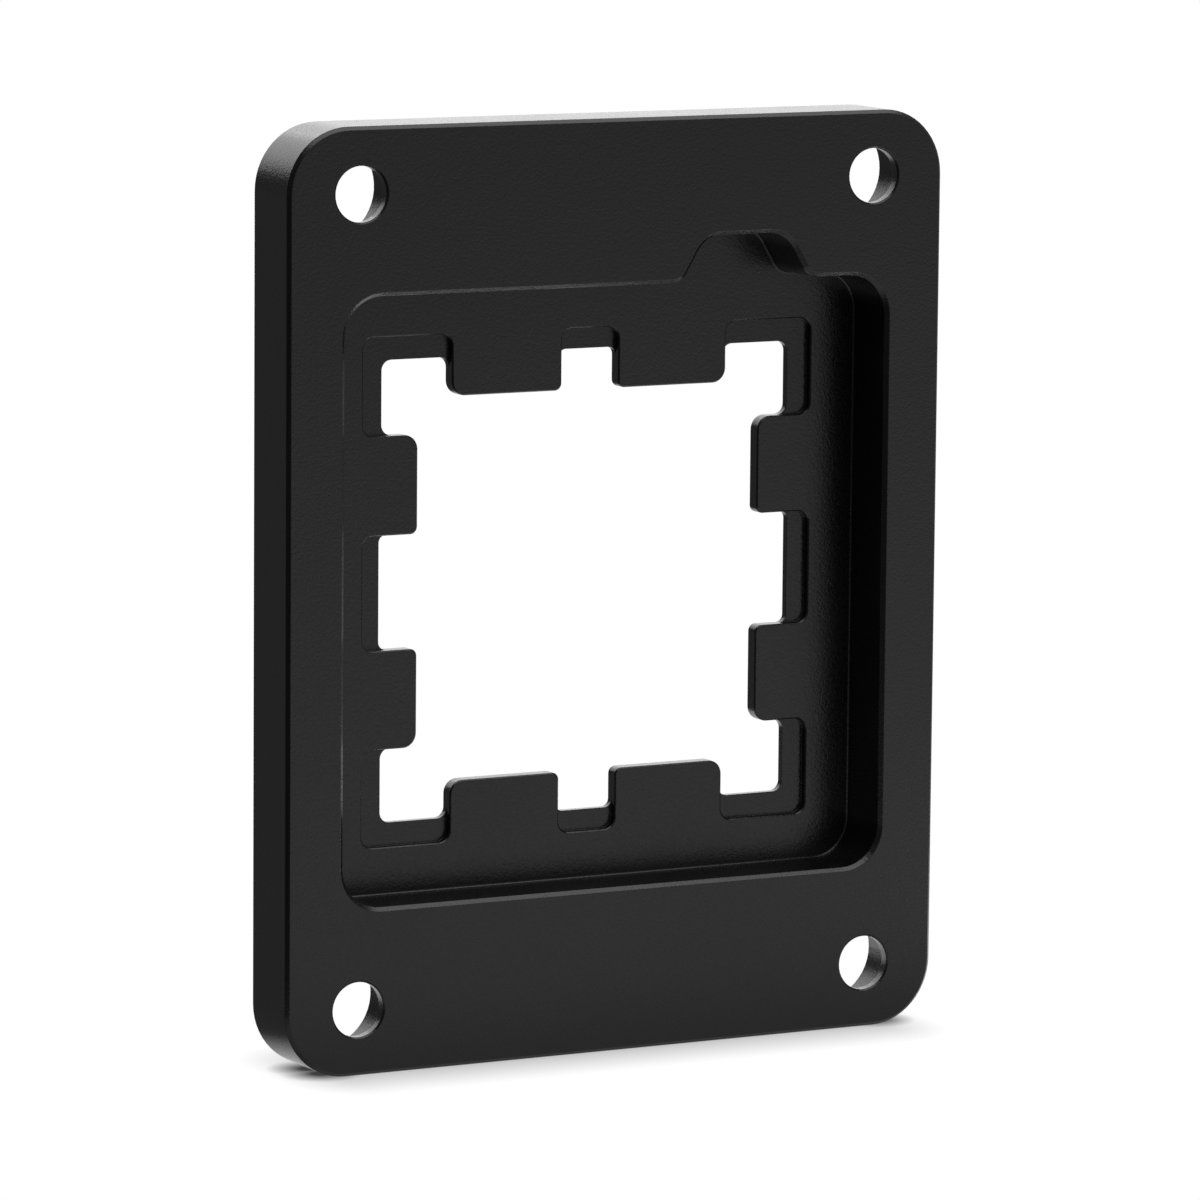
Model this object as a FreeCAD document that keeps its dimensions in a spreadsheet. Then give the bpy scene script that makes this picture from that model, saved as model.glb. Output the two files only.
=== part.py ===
"""Processor socket retention frame: one milled aluminium plate, in millimetres.

The plate stands upright on one short edge. X runs across it, Y through its thickness with the
pocket side facing -Y, and Z up. The origin is the middle of the bottom edge.
"""
import FreeCAD, Part
import math
import os

import Sketcher

# Driving sizes, in millimetres and degrees.
SIZES = {
    # Outer plate.
    "plate_width": 55.5,
    "plate_height": 71.0,
    "plate_thickness": 6.0,
    "plate_corner_radius": 5.0,
    "plate_edge_chamfer": 0.27,
    # Pocket over the socket, open at the front, with a rim left round it and a floor below it.
    "side_rim_width": 4.75,
    "end_rim_width": 12.6,
    "floor_thickness": 1.1,
    "pocket_corner_radius": 3.1,
    "pocket_floor_fillet": 0.15,
    "pocket_rim_chamfer": 0.3,
    "floor_edge_chamfer": 0.1,
    # Lobe in the pocket's top wall, placed from the pocket's right wall.
    "lobe_inset": 12.22,
    "lobe_crown_width": 6.95,
    "lobe_reach": 3.5,
    "lobe_flank_angle": 60.0,
    "lobe_crown_radius": 2.35,
    "lobe_foot_radius": 1.5,
    # Shallow step in the pocket floor, placed from the pocket's walls.
    "side_ledge_width": 3.85,
    "end_ledge_width": 3.6,
    "step_depth": 0.55,
    "step_radius": 0.9,
    # Notches cut right through inside the step.
    "corner_step_width": 1.78,
    "middle_step_width": 1.6,
    "corner_notch_radius": 0.8,
    "middle_notch_radius": 0.6,
    # Two tabs on each edge of the window: level ones at its top and bottom, upright ones at its sides.
    "level_tab_length": 2.9,
    "level_tab_gap": 4.85,
    "level_tab_inset": 2.85,
    "side_tab_length": 2.8,
    "side_tab_gap": 8.7,
    "side_tab_inset": 2.77,
    "tab_outer_radius": 1.1,
    "tab_inner_radius": 0.55,
    # Screw holes, counterbored from the back and placed from the plate's edges.
    "hole_side_distance": 6.0,
    "hole_end_distance": 5.0,
    "hole_diameter": 4.2,
    "hole_rim_chamfer": 0.12,
    "screw_seat_thickness": 0.8,
    "counterbore_diameter": 7.8,
    "counterbore_rim_chamfer": 0.1,
}

# Points closer than this, in millimetres, are one point.
SAME_PLACE = 1e-4


class Measure:
    """A number together with the sheet formula that gives it."""

    def __init__(self, number, formula):
        self.number = number
        self.formula = formula

    def __add__(self, other):
        return Measure(self.number + other.number, f"({self.formula} + {other.formula})")

    def __sub__(self, other):
        return Measure(self.number - other.number, f"({self.formula} - {other.formula})")

    def __neg__(self):
        return Measure(-self.number, f"(-{self.formula})")

    def half(self):
        return Measure(self.number / 2, f"({self.formula} / 2)")


def size(name):
    return Measure(SIZES[name], f"Sizes.{name}")


def make_sheet(doc):
    sheet = doc.addObject("Spreadsheet::Sheet", "Sizes")
    for row, (name, number) in enumerate(SIZES.items(), 1):
        sheet.set(f"A{row}", name)
        sheet.set(f"B{row}", str(number))
        sheet.setAlias(f"B{row}", name)
    doc.recompute()


def bind(feature, property_name, measure):
    feature.setExpression(property_name, measure.formula)


def origin_plane(body, role):
    return next(plane for plane in body.Origin.OriginFeatures if plane.Role == role)


def add_sketch(body, name, on_back=False):
    """An empty sketch on the plate's front face, or on its back face seen from behind."""
    sketch = body.newObject("Sketcher::SketchObject", name)
    sketch.AttachmentSupport = [(origin_plane(body, "XZ_Plane"), "")]
    sketch.MapReversed = on_back
    sketch.MapMode = "FlatFace"
    bind(sketch, "AttachmentOffset.Base.z", size("plate_thickness").half())
    return sketch


def dimension(sketch, name, constraint, measure):
    number = sketch.addConstraint(constraint)
    sketch.renameConstraint(number, name)
    bind(sketch, f"Constraints.{name}", measure)


def hold(sketch, name, kind, element, point, measure):
    """Keep a point at a signed distance, across or up, from the sketch's origin."""
    if measure.number < 0:
        constraint = Sketcher.Constraint(kind, element, point, -1, 1, -measure.number)
        measure = -measure
    else:
        constraint = Sketcher.Constraint(kind, -1, 1, element, point, measure.number)
    dimension(sketch, name, constraint, measure)


def draw_outline(sketch, corners):
    """A closed outline of straight lines, with every corner held in place."""
    places = [FreeCAD.Vector(across.number, up.number, 0) for across, up in corners]
    count = len(corners)
    for index in range(count):
        sketch.addGeometry(Part.LineSegment(places[index], places[(index + 1) % count]))
    for index in range(count):
        sketch.addConstraint(Sketcher.Constraint("Coincident", index, 2, (index + 1) % count, 1))
    for index, (across, up) in enumerate(corners):
        hold(sketch, f"across_{index}", "DistanceX", index, 1, across)
        hold(sketch, f"up_{index}", "DistanceY", index, 1, up)


def draw_rectangle(sketch, left, right, bottom, top):
    draw_outline(sketch, [(left, bottom), (right, bottom), (right, top), (left, top)])


def draw_rounded_rectangle(sketch, left, right, bottom, top, radius):
    """Four lines joined by four equal tangent arcs, anticlockwise from the bottom line."""
    low_x, high_x = left.number + radius.number, right.number - radius.number
    low_y, high_y = bottom.number + radius.number, top.number - radius.number
    ends = [
        ((low_x, bottom.number), (high_x, bottom.number)),
        ((right.number, low_y), (right.number, high_y)),
        ((high_x, top.number), (low_x, top.number)),
        ((left.number, high_y), (left.number, low_y)),
    ]
    centres = [(high_x, low_y), (high_x, high_y), (low_x, high_y), (low_x, low_y)]
    for turn in range(4):
        start, end = (FreeCAD.Vector(*place, 0) for place in ends[turn])
        sketch.addGeometry(Part.LineSegment(start, end))
        circle = Part.Circle(FreeCAD.Vector(*centres[turn], 0), FreeCAD.Vector(0, 0, 1), radius.number)
        first = (turn - 1) * math.pi / 2
        sketch.addGeometry(Part.ArcOfCircle(circle, first, first + math.pi / 2))
    for element in range(8):
        sketch.addConstraint(Sketcher.Constraint("Tangent", element, 2, (element + 1) % 8, 1))
    for line, direction in ((0, "Horizontal"), (2, "Vertical"), (4, "Horizontal"), (6, "Vertical")):
        sketch.addConstraint(Sketcher.Constraint(direction, line))
    for arc in (3, 5, 7):
        sketch.addConstraint(Sketcher.Constraint("Equal", 1, arc))
    dimension(sketch, "radius", Sketcher.Constraint("Radius", 1, radius.number), radius)
    hold(sketch, "bottom", "DistanceY", 0, 1, bottom)
    hold(sketch, "right", "DistanceX", 2, 1, right)
    hold(sketch, "top", "DistanceY", 4, 1, top)
    hold(sketch, "left", "DistanceX", 6, 1, left)


def cut(body, sketch, name, depth=None):
    """Sink a sketch to a depth below the front face, or right through the plate."""
    before = body.Shape.Volume
    pocket = body.newObject("PartDesign::Pocket", name)
    pocket.Profile = sketch
    if depth is None:
        pocket.Type = "ThroughAll"
    else:
        bind(pocket, "Length", depth)
    body.Document.recompute()
    if body.Shape.Volume >= before - SAME_PLACE:
        raise RuntimeError(f"{name} removes nothing")
    return pocket


def mirror_to_four(body, features, name):
    """Repeat a feature of one quarter of the plate in the other three."""
    mirrors = []
    for direction, role in (("across", "YZ_Plane"), ("up", "XY_Plane")):
        mirror = body.newObject("PartDesign::Mirrored", f"{name}_{direction}")
        mirror.MirrorPlane = (origin_plane(body, role), [""])
        mirrors.append(mirror)
    transform = body.newObject("PartDesign::MultiTransform", name)
    transform.Originals = features
    transform.Transformations = mirrors
    body.Tip = transform
    body.Document.recompute()


def through_edges(shape, places):
    """Names of the straight edges along Y that stand on the given places of the front view."""
    names = []
    for number, edge in enumerate(shape.Edges, 1):
        if len(edge.Vertexes) < 2:
            continue
        start, end = edge.Vertexes[0].Point, edge.Vertexes[1].Point
        along = abs(start.x - end.x) < SAME_PLACE and abs(start.z - end.z) < SAME_PLACE
        if along and any(math.hypot(start.x - x, start.z - z) < SAME_PLACE for x, z in places):
            names.append(f"Edge{number}")
    return names


def flat_face(shape, depth, facing):
    """The largest flat face at a depth along Y whose outward normal has the given sign."""
    found = []
    for face in shape.Faces:
        normal = face.normalAt(0, 0)
        if abs(face.CenterOfMass.y - depth) < SAME_PLACE and normal.y * facing > 1 - SAME_PLACE:
            found.append(face)
    return max(found, key=lambda face: face.Area)


def pocket_floor_face(shape):
    depth = pocket_depth() - size("plate_thickness").half()
    return flat_face(shape, depth.number, -1)


def inner_wires(face):
    return [wire for wire in face.Wires if not wire.isSame(face.OuterWire)]


def edge_names(shape, edges):
    return [f"Edge{number}" for number, edge in enumerate(shape.Edges, 1)
            if any(edge.isSame(wanted) for wanted in edges)]


def dress(body, kind, name, edges, property_name, measure):
    """Round or bevel named edges of the body as it stands."""
    if not edges:
        raise RuntimeError(f"{name} finds no edges")
    base = body.Tip
    feature = body.newObject(f"PartDesign::{kind}", name)
    feature.Base = (base, edges)
    bind(feature, property_name, measure)
    body.Tip = feature
    body.Document.recompute()


def fillet_through_edges(body, name, places, measure):
    edges = through_edges(body.Tip.Shape, [(across.number, up.number) for across, up in places])
    if len(edges) != len(places):
        raise RuntimeError(f"{name} finds {len(edges)} of {len(places)} edges")
    dress(body, "Fillet", name, edges, "Radius", measure)


def in_four_quarters(across, up):
    return [(x, z) for x in (across, -across) for z in (up, -up)]


def pocket_reach():
    """Half the pocket's width and half its height."""
    return (size("plate_width").half() - size("side_rim_width"),
            size("plate_height").half() - size("end_rim_width"))


def pocket_depth():
    return size("plate_thickness") - size("floor_thickness")


def add_plate(body):
    width, height = size("plate_width").half(), size("plate_height").half()
    sketch = add_sketch(body, "plate_outline")
    draw_rounded_rectangle(sketch, -width, width, -height, height, size("plate_corner_radius"))
    plate = body.newObject("PartDesign::Pad", "plate")
    plate.Profile = sketch
    plate.Reversed = True
    bind(plate, "Length", size("plate_thickness"))
    body.Document.recompute()


def add_pocket(body):
    """The pocket over the socket, with a lobe in its top wall and a small fillet at its floor."""
    width, height = pocket_reach()
    sketch = add_sketch(body, "pocket_outline")
    draw_rounded_rectangle(sketch, -width, width, -height, height, size("pocket_corner_radius"))
    cut(body, sketch, "pocket", pocket_depth())

    reach, angle = size("lobe_reach"), size("lobe_flank_angle")
    run = Measure(reach.number / math.tan(math.radians(angle.number)),
                  f"({reach.formula} / tan({angle.formula} * 1 deg))")
    offset = width - size("lobe_inset")
    crown = size("lobe_crown_width").half()
    foot = crown + run
    root = foot + run
    sketch = add_sketch(body, "lobe_outline")
    draw_outline(sketch, [
        (offset - root, height - reach),
        (offset + root, height - reach),
        (offset + crown, height + reach),
        (offset - crown, height + reach),
    ])
    cut(body, sketch, "lobe", pocket_depth())
    crown_corners = [(offset - crown, height + reach), (offset + crown, height + reach)]
    foot_corners = [(offset - foot, height), (offset + foot, height)]
    fillet_through_edges(body, "lobe_crown", crown_corners, size("lobe_crown_radius"))
    fillet_through_edges(body, "lobe_foot", foot_corners, size("lobe_foot_radius"))

    floor = pocket_floor_face(body.Tip.Shape)
    dress(body, "Fillet", "pocket_floor", edge_names(body.Tip.Shape, floor.OuterWire.Edges),
          "Radius", size("pocket_floor_fillet"))


def add_window(body):
    """The through window with its eight tabs, and the shallow step round the notches between them."""
    width, height = pocket_reach()
    step_x, step_z = width - size("side_ledge_width"), height - size("end_ledge_width")
    step_depth = pocket_depth() + size("step_depth")
    corner_x, corner_z = (reach - size("corner_step_width") for reach in (step_x, step_z))
    middle_x, middle_z = (reach - size("middle_step_width") for reach in (step_x, step_z))
    tip_x, tip_z = corner_x - size("side_tab_length"), corner_z - size("level_tab_length")
    level_near, side_near = size("level_tab_gap").half(), size("side_tab_gap").half()
    level_far, side_far = tip_x - size("level_tab_inset"), tip_z - size("side_tab_inset")

    for name, reach_x, reach_z, radius, depth in (
            ("step", step_x, step_z, size("step_radius"), step_depth),
            ("notch", middle_x, middle_z, size("middle_notch_radius"), None)):
        sketch = add_sketch(body, f"level_{name}_outline")
        draw_rounded_rectangle(sketch, -level_near, level_near, -reach_z, reach_z, radius)
        cut(body, sketch, f"level_{name}", depth)
        sketch = add_sketch(body, f"side_{name}_outline")
        draw_rounded_rectangle(sketch, -reach_x, reach_x, -side_near, side_near, radius)
        cut(body, sketch, f"side_{name}", depth)

    for name, reach_x, reach_z, radius, depth in (
            ("corner_step", step_x, step_z, size("step_radius"), step_depth),
            ("corner_notch", corner_x, corner_z, size("corner_notch_radius"), None)):
        sketch = add_sketch(body, f"{name}_outline")
        draw_rounded_rectangle(sketch, level_far, reach_x, side_far, reach_z, radius)
        corner = cut(body, sketch, name, depth)
        mirror_to_four(body, [corner], f"{name}s")

    sketch = add_sketch(body, "window_outline")
    draw_rectangle(sketch, -tip_x, tip_x, -tip_z, tip_z)
    cut(body, sketch, "window")

    outer_corners = in_four_quarters(level_far, tip_z) + in_four_quarters(tip_x, side_far)
    inner_corners = in_four_quarters(level_near, tip_z) + in_four_quarters(tip_x, side_near)
    fillet_through_edges(body, "tab_outer_corners", outer_corners, size("tab_outer_radius"))
    fillet_through_edges(body, "tab_inner_corners", inner_corners, size("tab_inner_radius"))


def add_holes(body):
    """Four screw holes near the plate's corners, with counterbores for the screw heads at the back."""
    across = size("plate_width").half() - size("hole_side_distance")
    up = size("plate_height").half() - size("hole_end_distance")
    radius = size("hole_diameter").half()
    sketch = add_sketch(body, "hole_centre", on_back=True)
    centre = FreeCAD.Vector(across.number, up.number, 0)
    sketch.addGeometry(Part.Circle(centre, FreeCAD.Vector(0, 0, 1), radius.number))
    dimension(sketch, "radius", Sketcher.Constraint("Radius", 0, radius.number), radius)
    hold(sketch, "across", "DistanceX", 0, 3, across)
    hold(sketch, "up", "DistanceY", 0, 3, up)
    body.Document.recompute()

    hole = body.newObject("PartDesign::Hole", "screw_hole")
    hole.Profile = sketch
    hole.Threaded = False
    hole.ThreadType = "None"
    hole.DepthType = "ThroughAll"
    hole.HoleCutType = "Counterbore"
    hole.HoleCutCustomValues = True
    bind(hole, "Diameter", size("hole_diameter"))
    bind(hole, "HoleCutDiameter", size("counterbore_diameter"))
    bind(hole, "HoleCutDepth", size("plate_thickness") - size("screw_seat_thickness"))
    body.Document.recompute()
    mirror_to_four(body, [hole], "screw_holes")


def bevel_edges(body):
    """Bevels round the plate, the pocket's rim, the tabs and steps, and both ends of the screw holes."""
    depth = size("plate_thickness").number / 2
    for side, facing in (("front", -1), ("back", 1)):
        face = flat_face(body.Tip.Shape, facing * depth, facing)
        dress(body, "Chamfer", f"plate_{side}_edge", edge_names(body.Tip.Shape, face.OuterWire.Edges),
              "Size", size("plate_edge_chamfer"))

    rim = max(inner_wires(flat_face(body.Tip.Shape, -depth, -1)), key=lambda wire: wire.Length)
    dress(body, "Chamfer", "pocket_rim", edge_names(body.Tip.Shape, rim.Edges),
          "Size", size("pocket_rim_chamfer"))

    floor_edges = [edge for wire in inner_wires(pocket_floor_face(body.Tip.Shape)) for edge in wire.Edges]
    dress(body, "Chamfer", "floor_edge", edge_names(body.Tip.Shape, floor_edges),
          "Size", size("floor_edge_chamfer"))

    for name, facing, measure in (("hole_rims", -1, size("hole_rim_chamfer")),
                                  ("counterbore_rims", 1, size("counterbore_rim_chamfer"))):
        face = flat_face(body.Tip.Shape, facing * depth, facing)
        circles = [edge for edge in face.Edges if edge.isClosed()]
        dress(body, "Chamfer", name, edge_names(body.Tip.Shape, circles), "Size", measure)


def make_frame(doc):
    body = doc.addObject("PartDesign::Body", "RetentionFrame")
    body.Label = "retention_frame"
    bind(body, "Placement.Base.z", size("plate_height").half())
    add_plate(body)
    add_pocket(body)
    add_window(body)
    add_holes(body)
    bevel_edges(body)
    return body


def check(doc, body):
    for item in doc.Objects:
        if "Invalid" in item.State or "Error" in item.State:
            raise RuntimeError(f"{item.Label} did not rebuild: {item.State}")
    if body.Shape.isNull() or not body.Shape.isValid() or len(body.Shape.Solids) != 1:
        raise RuntimeError(f"{body.Label} is not one sound solid")


def main():
    doc = FreeCAD.newDocument("retention_frame")
    make_sheet(doc)
    body = make_frame(doc)
    check(doc, body)
    os.makedirs("parts", exist_ok=True)
    body.Shape.exportStep(f"parts/{body.Label}.step")
    box = body.Shape.BoundBox
    print(f"{body.Label}: {box.XLength:.3f} x {box.YLength:.3f} x {box.ZLength:.3f} mm,"
          f" lowest {box.ZMin:.3f}, volume {body.Shape.Volume:.2f} mm3, {len(body.Shape.Faces)} faces")


main()
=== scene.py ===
"""Black anodised retention frame, standing on a white studio floor."""
import math

import bpy
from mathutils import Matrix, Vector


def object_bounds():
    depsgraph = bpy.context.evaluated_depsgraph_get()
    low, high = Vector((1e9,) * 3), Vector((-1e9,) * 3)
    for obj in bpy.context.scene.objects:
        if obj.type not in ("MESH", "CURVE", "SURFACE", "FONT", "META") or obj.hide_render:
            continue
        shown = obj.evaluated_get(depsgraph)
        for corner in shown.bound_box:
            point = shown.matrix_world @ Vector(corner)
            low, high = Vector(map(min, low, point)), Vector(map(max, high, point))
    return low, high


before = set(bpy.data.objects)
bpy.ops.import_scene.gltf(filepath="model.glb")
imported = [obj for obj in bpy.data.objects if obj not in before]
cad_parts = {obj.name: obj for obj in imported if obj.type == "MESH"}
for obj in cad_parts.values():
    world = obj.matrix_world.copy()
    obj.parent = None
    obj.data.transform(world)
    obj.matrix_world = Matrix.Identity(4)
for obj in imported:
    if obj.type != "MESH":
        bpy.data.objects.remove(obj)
cad_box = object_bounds()
half_width, half_depth, _ = cad_box[1]

WHITE = (1.0, 1.0, 1.0, 1.0)

# The finish: its tones, the roughness of its gloss, and lengths in metres
DARK_TONE = (0.0006, 0.0006, 0.0007, 1.0)
LIGHT_TONE = (0.0014, 0.0014, 0.0016, 1.0)
TONE_BAND = (0.35, 0.65)
LAYER_IOR = 1.8
ROUGHNESS = (0.27, 0.31)
ROUGHNESS_GRAIN = (-0.03, 0.03)
ROUGHNESS_BAND = (0.3, 0.7)
NOISE_ROUGHNESS = 0.6
CLOUD_SIZE = 0.012
CLOUD_DETAIL = 4.0
GRAIN_SIZE = 0.00018
GRAIN_DETAIL = 1.0
GRAIN_HEIGHT = 0.000017
EDGE_RADIUS = 0.0001
EDGE_SAMPLES = 6

# The floor's painted light and shade that the object mirrors: bands in metres from the middle of its
# foot, and light levels
FLOOR_HALF_WIDTH = 3.0
BACK_START_Y = (-0.002, 0.001)
BACK_FADE_X = (0.08, 0.16)
BACK_GLOW_LEVEL = (0.80, 0.05)
FRONT_FAR_Y = (-0.45, -0.20)
FRONT_FAR_GLOW_LEVEL = (0.25, 0.38)
FRONT_NEAR_Y = (-0.035, -0.010)
FRONT_NEAR_SHARE = (1.06, 0.68)
# Painted highlight: a bright oval glowing on the floor at the right front
PAINTED_HIGHLIGHT_MIDDLE = (0.072, -0.013, 0.0)
PAINTED_HIGHLIGHT_SQUEEZE = (0.38, 1.0, 1.0)
PAINTED_HIGHLIGHT_EDGE = (0.007, 0.013)
PAINTED_HIGHLIGHT_LEVEL = 3.5
# Painted shade on the floor's glow at the object's left
LEFT_LEAN_BACK = 0.35
LEFT_LEAN_FRONT = -0.22
LEFT_EDGE_X = (-0.0305, -0.0255)
LEFT_PAINTED_SHADE = 0.095
FOOT_EDGE = (0.036, 0.055)
FOOT_FRONT_Y = (-0.004, -0.002)
# Painted shade on the floor's glow in a wedge at the object's right
BESIDE_LEAN = -1.85
BESIDE_EDGE_X = (-0.005, 0.015)
BESIDE_START_X = (0.06, 0.09)
BESIDE_PAINTED_SHADE = 0.7

# The floor that the camera sees: the shadow around the object's flat foot, and a painted shadow under
# its round corners
FOOT_INSET = 0.00505
FOOT_HALF_SIZE = (half_width - FOOT_INSET, half_depth, 0.0)
SHADOW_SQUEEZE = (1.3, 1.0, 1.0)
SHADOW_WIDTH = 0.0068
SHADOW_GLOW = 0.42
# Painted shadow under the round corners: where it sits, how far it reaches and how dark it is
PAINTED_SHADE_INSET = 0.00375
PAINTED_SHADE_MIDDLE = (half_width - PAINTED_SHADE_INSET, half_depth / 3, 0.0)
PAINTED_SHADE_EDGE = (0.0006, 0.0032)
PAINTED_SHADE_LEVEL = 0.08

# The room around it, from its left to its right
ROOM_BAND = (-0.5, 0.3)
ROOM_LEVEL = (0.06, 0.16)

# The camera of the photograph: millimetres, metres and degrees
LENS = 223.829
CAMERA_PLACE = (-0.264122, -0.493655, 0.113336)
CAMERA_TURN = (81.9579, -0.4888, -28.0775)
CAMERA_NEAR = 0.01
CAMERA_FAR = 20.0


def new_node(tree, kind, values=None, **properties):
    """A shader node with its input sockets and properties set."""
    node = tree.nodes.new(kind)
    for name, value in properties.items():
        setattr(node, name, value)
    for name, value in (values or {}).items():
        node.inputs[name].default_value = value
    return node


def empty_tree(owner):
    """The node tree of a material or world, with nothing in it."""
    owner.use_nodes = True
    owner.node_tree.nodes.clear()
    return owner.node_tree


def feed(tree, node, terms):
    """Give a node's first inputs their terms, each of them a socket to link or a value to set."""
    for socket, term in zip(node.inputs, terms):
        if isinstance(term, bpy.types.NodeSocket):
            tree.links.new(term, socket)
        else:
            socket.default_value = term


def number(tree, operation, *terms):
    """The number that a math node works out."""
    node = new_node(tree, "ShaderNodeMath", operation=operation)
    feed(tree, node, terms)
    return node.outputs["Value"]


def vector(tree, operation, *terms):
    """The vector that a vector math node works out."""
    node = new_node(tree, "ShaderNodeVectorMath", operation=operation)
    feed(tree, node, terms)
    return node.outputs["Vector"]


def length(tree, place):
    """How long a vector is."""
    node = new_node(tree, "ShaderNodeVectorMath", operation="LENGTH")
    feed(tree, node, [place])
    return node.outputs["Value"]


def spread(tree, value, band, levels):
    """A value mapped from a band to two levels and held between them."""
    node = new_node(tree, "ShaderNodeMapRange",
                    {"From Min": band[0], "From Max": band[1], "To Min": levels[0], "To Max": levels[1]})
    tree.links.new(value, node.inputs["Value"])
    return node.outputs["Result"]


def noise(tree, place, size, detail):
    """Noise whose features are about the given size in metres."""
    node = new_node(tree, "ShaderNodeTexNoise",
                    {"Scale": 1.0 / size, "Detail": detail, "Roughness": NOISE_ROUGHNESS})
    tree.links.new(place, node.inputs["Vector"])
    return node.outputs["Fac"]


def split_place(tree, kind):
    """The place of a point of the surface or of the sky, whole and as its X and Y."""
    place = new_node(tree, "ShaderNodeTexCoord").outputs[kind]
    axes = new_node(tree, "ShaderNodeSeparateXYZ")
    tree.links.new(place, axes.inputs["Vector"])
    return place, axes.outputs["X"], axes.outputs["Y"]


def blend(tree, share, first, second):
    """Two shaders blended by a share of the second one."""
    node = new_node(tree, "ShaderNodeMixShader")
    feed(tree, node, [share, first, second])
    return node.outputs["Shader"]


def camera_ray(tree):
    """One for the camera's own rays, and nought for all others."""
    return new_node(tree, "ShaderNodeLightPath").outputs["Is Camera Ray"]


def anodised_aluminium():
    """Bead-blasted aluminium under a black anodised layer, with its edges rubbed a little smoother."""
    material = bpy.data.materials.new("black_anodised_aluminium")
    tree = empty_tree(material)
    place = new_node(tree, "ShaderNodeTexCoord").outputs["Object"]
    cloud = noise(tree, place, CLOUD_SIZE, CLOUD_DETAIL)
    grain = noise(tree, place, GRAIN_SIZE, GRAIN_DETAIL)
    shader = new_node(tree, "ShaderNodeBsdfPrincipled", {"Metallic": 0.0, "IOR": LAYER_IOR})

    tone = new_node(tree, "ShaderNodeMix", data_type="RGBA", blend_type="MIX")
    tone.inputs["A"].default_value = DARK_TONE
    tone.inputs["B"].default_value = LIGHT_TONE
    tree.links.new(spread(tree, cloud, TONE_BAND, (0.0, 1.0)), tone.inputs["Factor"])
    tree.links.new(tone.outputs["Result"], shader.inputs["Base Color"])

    cloudy = spread(tree, cloud, ROUGHNESS_BAND, ROUGHNESS)
    grainy = spread(tree, grain, ROUGHNESS_BAND, ROUGHNESS_GRAIN)
    tree.links.new(number(tree, "ADD", cloudy, grainy), shader.inputs["Roughness"])

    edge = new_node(tree, "ShaderNodeBevel", {"Radius": EDGE_RADIUS}, samples=EDGE_SAMPLES)
    bump = new_node(tree, "ShaderNodeBump", {"Strength": 1.0, "Distance": GRAIN_HEIGHT})
    tree.links.new(grain, bump.inputs["Height"])
    tree.links.new(edge.outputs["Normal"], bump.inputs["Normal"])
    tree.links.new(bump.outputs["Normal"], shader.inputs["Normal"])

    output = new_node(tree, "ShaderNodeOutputMaterial")
    tree.links.new(shader.outputs["BSDF"], output.inputs["Surface"])
    return material


def painted_back_glow(tree, x, y):
    """Painted light: the floor glows bright behind the object, and fades out to the right."""
    fade = spread(tree, x, BACK_FADE_X, BACK_GLOW_LEVEL)
    behind = spread(tree, y, BACK_START_Y, (0.0, 1.0))
    return number(tree, "MULTIPLY", fade, behind)


def painted_front_glow(tree, y):
    """Painted light: the floor glows dimmer in front, which the flat faces mirror. It runs on unchanged
    behind the object.
    """
    far = spread(tree, y, FRONT_FAR_Y, FRONT_FAR_GLOW_LEVEL)
    near = spread(tree, y, FRONT_NEAR_Y, FRONT_NEAR_SHARE)
    return number(tree, "MULTIPLY", far, near)


def painted_rim_highlight(tree, place):
    """A painted highlight: a small bright oval glowing on the floor at the right front, which the bevel
    along the pocket's top edge mirrors.
    """
    offset = vector(tree, "SUBTRACT", place, PAINTED_HIGHLIGHT_MIDDLE)
    oval = vector(tree, "MULTIPLY", offset, PAINTED_HIGHLIGHT_SQUEEZE)
    return spread(tree, length(tree, oval), PAINTED_HIGHLIGHT_EDGE, (PAINTED_HIGHLIGHT_LEVEL, 0.0))


def left_painted_shade(tree, place, x, y):
    """Painted shade: the share of light that is left on the floor's glow past two slanting edges at the
    object's left.
    The floor by the object's foot keeps all of it in front."""
    hind = number(tree, "MULTIPLY", y, LEFT_LEAN_BACK)
    fore = number(tree, "MULTIPLY", y, LEFT_LEAN_FRONT)
    slant = number(tree, "SUBTRACT", x, number(tree, "MAXIMUM", hind, fore))
    left = spread(tree, slant, LEFT_EDGE_X, (LEFT_PAINTED_SHADE, 1.0))
    foot = spread(tree, length(tree, place), FOOT_EDGE, (1.0, 0.0))
    before = spread(tree, y, FOOT_FRONT_Y, (1.0, 0.0))
    return number(tree, "MAXIMUM", left, number(tree, "MULTIPLY", foot, before))


def right_painted_shade(tree, x, y):
    """Painted shade: the share of light that is left on the floor's glow in a wedge that opens to the
    object's right.
    """
    away = number(tree, "ABSOLUTE", y)
    painted_shade_wedge = number(tree, "MULTIPLY_ADD", away, BESIDE_LEAN, x)
    loss = spread(tree, painted_shade_wedge, BESIDE_EDGE_X, (0.0, BESIDE_PAINTED_SHADE))
    started = spread(tree, x, BESIDE_START_X, (0.0, 1.0))
    return number(tree, "SUBTRACT", 1.0, number(tree, "MULTIPLY", loss, started))


def painted_floor_light(tree, place, x, y):
    """The floor for all rays but the camera's: a painted light that glows and changes from place to
    place, with painted shade at the left and right.
    """
    level = number(tree, "ADD", painted_back_glow(tree, x, y), painted_front_glow(tree, y))
    level = number(tree, "ADD", painted_rim_highlight(tree, place), level)
    level = number(tree, "MULTIPLY", left_painted_shade(tree, place, x, y), level)
    level = number(tree, "MULTIPLY", level, right_painted_shade(tree, x, y))
    light = new_node(tree, "ShaderNodeEmission", {"Color": WHITE})
    tree.links.new(level, light.inputs["Strength"])
    return light.outputs["Emission"]


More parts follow.
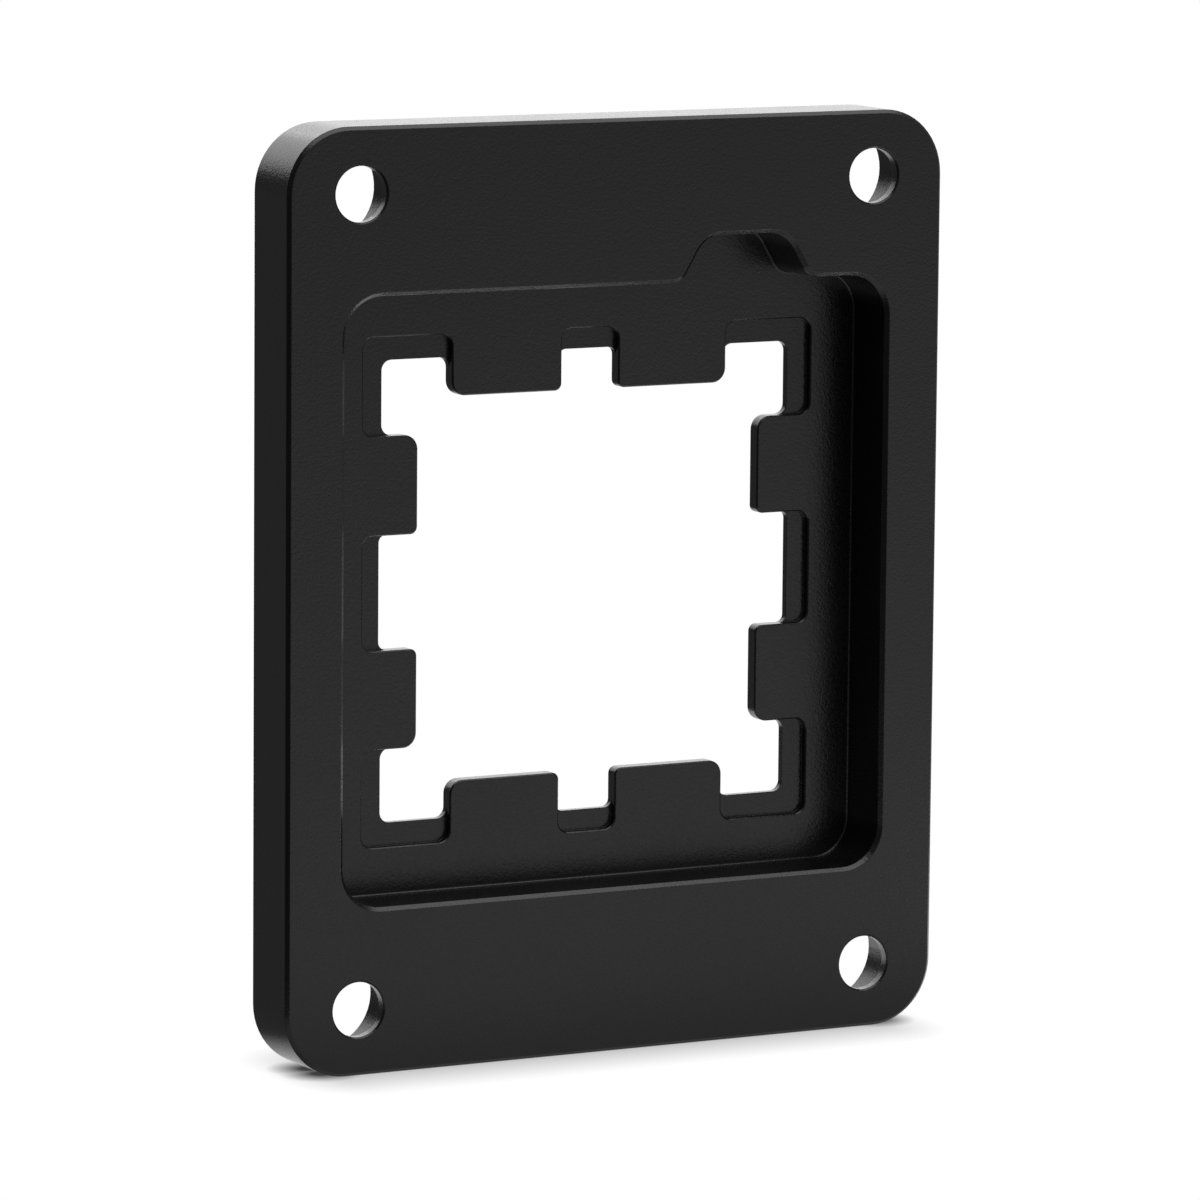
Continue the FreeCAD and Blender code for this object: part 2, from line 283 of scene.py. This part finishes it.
def seen_floor(tree, place):
    """The floor for the camera: glowing white, with a shaded strip around the object's foot
    and a painted shadow in wedges under its rounded corners, which darkens its colour and its glow."""
    outward = vector(tree, "ABSOLUTE", place)
    beyond = vector(tree, "SUBTRACT", outward, FOOT_HALF_SIZE)
    clear = vector(tree, "MAXIMUM", beyond, (0.0, 0.0, 0.0))
    distance = length(tree, vector(tree, "MULTIPLY", clear, SHADOW_SQUEEZE))
    corner = length(tree, vector(tree, "SUBTRACT", outward, PAINTED_SHADE_MIDDLE))
    # Painted shadow: colour and glow darkened in a wedge under each rounded corner
    painted_shade_wedge = spread(tree, corner, PAINTED_SHADE_EDGE, (PAINTED_SHADE_LEVEL, 1.0))
    surface = new_node(tree, "ShaderNodeBsdfDiffuse")
    tree.links.new(painted_shade_wedge, surface.inputs["Color"])
    glow = new_node(tree, "ShaderNodeEmission", {"Color": WHITE})
    tree.links.new(painted_shade_wedge, glow.inputs["Strength"])
    share = spread(tree, distance, (0.0, SHADOW_WIDTH), (SHADOW_GLOW, 1.0))
    return blend(tree, share, surface.outputs["BSDF"], glow.outputs["Emission"])


def floor_finish():
    """A plain white floor that melts into the backdrop, with a painted shadow under the object's
    corners, and that glows with painted light and shade which the object mirrors as a dimmer room.
    """
    material = bpy.data.materials.new("studio_floor")
    tree = empty_tree(material)
    place, x, y = split_place(tree, "Object")
    both = blend(tree, camera_ray(tree), painted_floor_light(tree, place, x, y), seen_floor(tree, place))
    output = new_node(tree, "ShaderNodeOutputMaterial")
    tree.links.new(both, output.inputs["Surface"])
    return material


def studio_floor():
    """A square sheet that the object stands on."""
    half = FLOOR_HALF_WIDTH
    mesh = bpy.data.meshes.new("studio_floor")
    mesh.from_pydata([(-half, -half, 0), (half, -half, 0), (half, half, 0), (-half, half, 0)],
                     [], [(0, 1, 2, 3)])
    mesh.materials.append(floor_finish())
    floor = bpy.data.objects.new("studio_floor", mesh)
    bpy.context.scene.collection.objects.link(floor)


def studio_world():
    """A white backdrop for the camera, and a dimmer room for the light that falls on the object."""
    world = bpy.data.worlds.new("studio")
    bpy.context.scene.world = world
    tree = empty_tree(world)
    _, x, _ = split_place(tree, "Generated")
    room = new_node(tree, "ShaderNodeBackground", {"Color": WHITE})
    tree.links.new(spread(tree, x, ROOM_BAND, ROOM_LEVEL), room.inputs["Strength"])
    backdrop = new_node(tree, "ShaderNodeBackground", {"Color": WHITE, "Strength": 1.0})
    both = blend(tree, camera_ray(tree), room.outputs["Background"], backdrop.outputs["Background"])
    output = new_node(tree, "ShaderNodeOutputWorld")
    tree.links.new(both, output.inputs["Surface"])


def aim(lamp, target):
    """Turn a lamp so that it faces a point."""
    direction = lamp.location.copy()
    direction.negate()
    direction += type(direction)(target)
    lamp.rotation_euler = direction.to_track_quat("-Z", "Y").to_euler()


def softbox(name, place, target, width, height, radiance):
    """A rectangular lamp of a given brightness, whatever its size."""
    light = bpy.data.lights.new(name, "AREA")
    light.shape = "RECTANGLE"
    light.size = width
    light.size_y = height
    light.energy = radiance * width * height * math.pi
    lamp = bpy.data.objects.new(name, light)
    lamp.location = place
    aim(lamp, target)
    lamp.visible_camera = False
    bpy.context.scene.collection.objects.link(lamp)


def studio_lamps():
    """One large lamp overhead, and two behind the object that its rounded top corners mirror."""
    softbox("overhead", place=(0.10, -0.02, 0.60), target=(0.0, 0.0, 0.03),
            width=0.9, height=0.7, radiance=1.0)
    softbox("back_right", place=(0.36, 0.66, 0.30), target=(0.0, 0.0, 0.035),
            width=0.6, height=0.50, radiance=1.7)
    softbox("back_left", place=(-0.11, 0.77, 0.42), target=(0.0, 0.0, 0.035),
            width=0.5, height=0.45, radiance=1.4)


def studio_camera():
    """The photograph's camera, as fitted to what the photograph shows of the object."""
    camera = bpy.data.cameras.new("camera")
    camera.lens = LENS
    camera.clip_start = CAMERA_NEAR
    camera.clip_end = CAMERA_FAR
    holder = bpy.data.objects.new("camera", camera)
    holder.location = CAMERA_PLACE
    holder.rotation_euler = [math.radians(angle) for angle in CAMERA_TURN]
    bpy.context.scene.collection.objects.link(holder)
    bpy.context.scene.camera = holder


finish = anodised_aluminium()
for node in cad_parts.values():
    node.data.materials.clear()
    node.data.materials.append(finish)

studio_floor()
studio_world()
studio_lamps()
studio_camera()

bpy.context.scene.view_settings.view_transform = "Standard"
